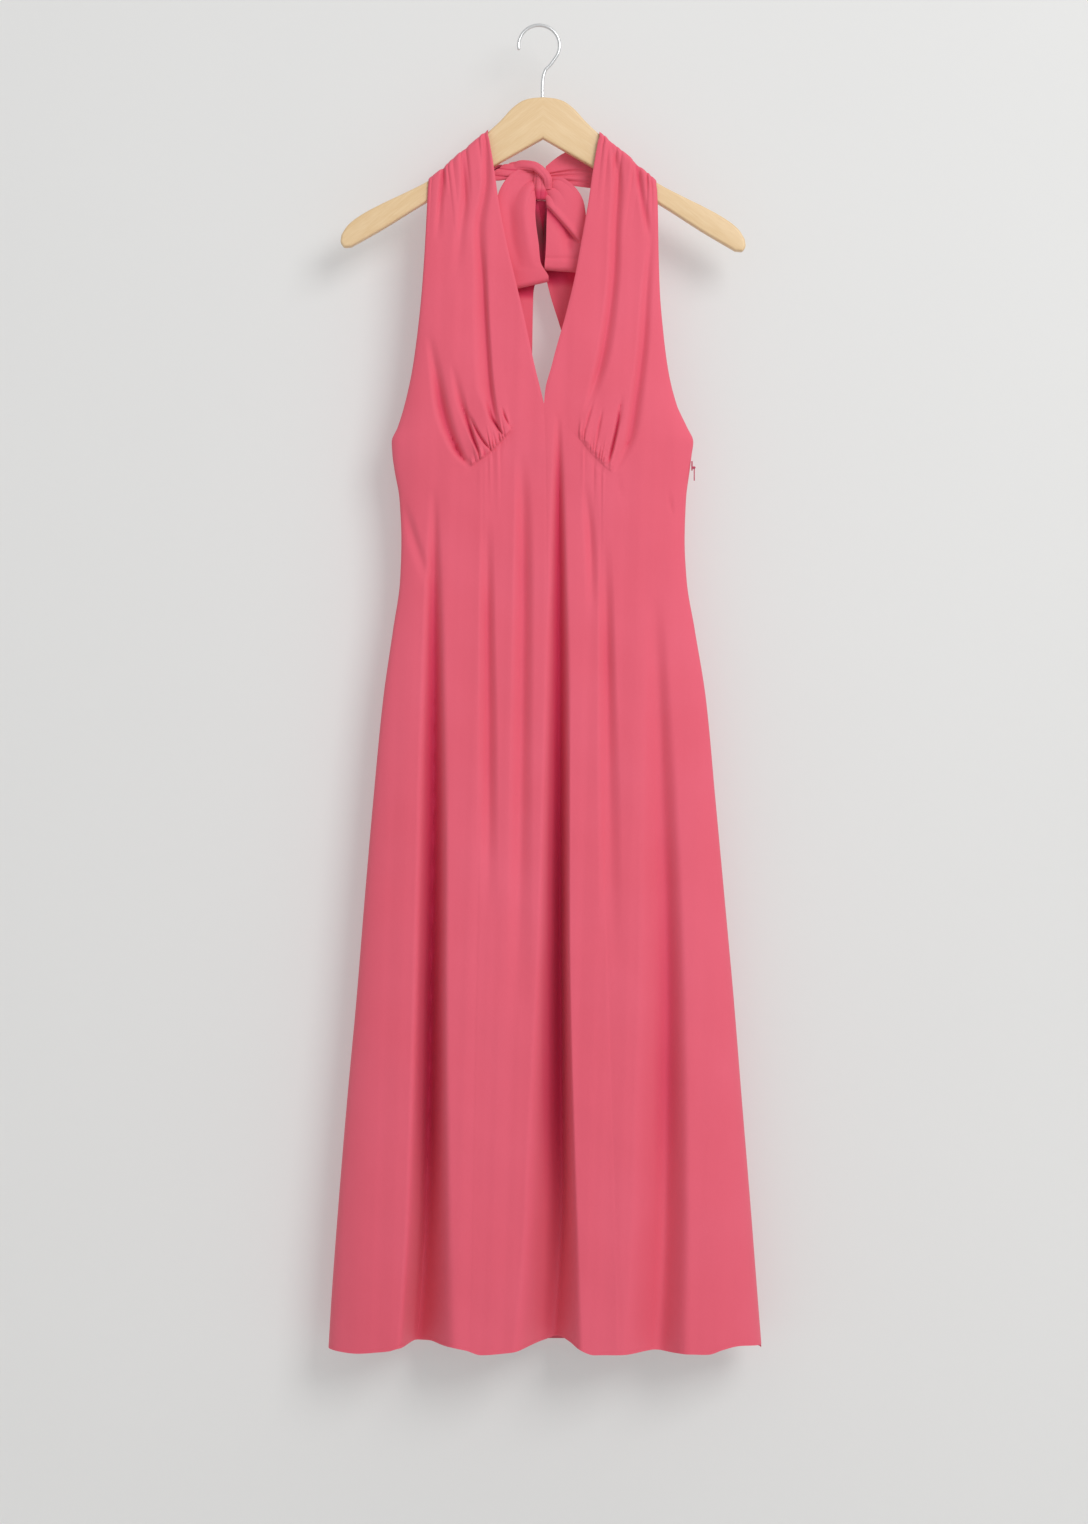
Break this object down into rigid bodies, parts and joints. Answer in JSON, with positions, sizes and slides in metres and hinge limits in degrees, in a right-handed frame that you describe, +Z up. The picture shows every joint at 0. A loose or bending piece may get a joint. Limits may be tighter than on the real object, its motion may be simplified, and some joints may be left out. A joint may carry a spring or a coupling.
{
  "type": "halter dress on a wooden hanger",
  "caption": "Long halter dress with a V neck, gathered bust and side zip, hanging flat from a wooden hanger, its straps tied in a bow behind it.",
  "frame": {"origin": "inside top of the hanger's hook, where a rail or wall hook carries it, at the wire's middle in depth", "axes": "+Z up, along the length of the dress; the front faces -Y; +X is the picture's right"},
  "size_m": [0.477, 0.0883, 1.4568],
  "materials": {
    "crepe": "matte, finely pebbled viscose crepe",
    "zip": "lacquered to match the cloth",
    "hanger": "clear satin lacquer",
    "hook": "bright plated wire"
  },
  "bodies": {
    "dress": {"front_left": "crepe", "front_left_side_top": "crepe", "front_left_side_upper": "crepe", "front_left_side_lower": "crepe", "front_left_side_hem": "crepe", "front_left_centre_top": "crepe", "front_left_centre_upper": "crepe", "front_left_centre_lower": "crepe", "front_left_centre_hem": "crepe", "front_right": "crepe", "front_right_side_top": "crepe", "front_right_side_upper": "crepe", "front_right_side_lower": "crepe", "front_right_side_hem": "crepe", "front_right_centre_top": "crepe", "front_right_centre_upper": "crepe", "front_right_centre_lower": "crepe", "front_right_centre_hem": "crepe", "back_top": "crepe", "back_upper": "crepe", "back_lower": "crepe", "back_hem": "crepe", "tie_left": "crepe", "tie_right": "crepe", "bow_knot": "crepe", "bow_loop_left": "crepe", "bow_loop_right": "crepe", "bow_tail_left": "crepe", "bow_tail_right": "crepe", "zip_slider": "zip", "hanger_wood": "hanger", "hanger_hook": "hook"},
    "pull_tab": {"zip_pull": "zip"}
  },
  "joints": [
    {"name": "pull_tab_swing", "type": "hinge", "parent": "dress", "child": "pull_tab", "pos_m": [0.17085, 0.0026, -0.4845], "axis": [0, -1, 0], "range_deg": [0, 170]}
  ]
}
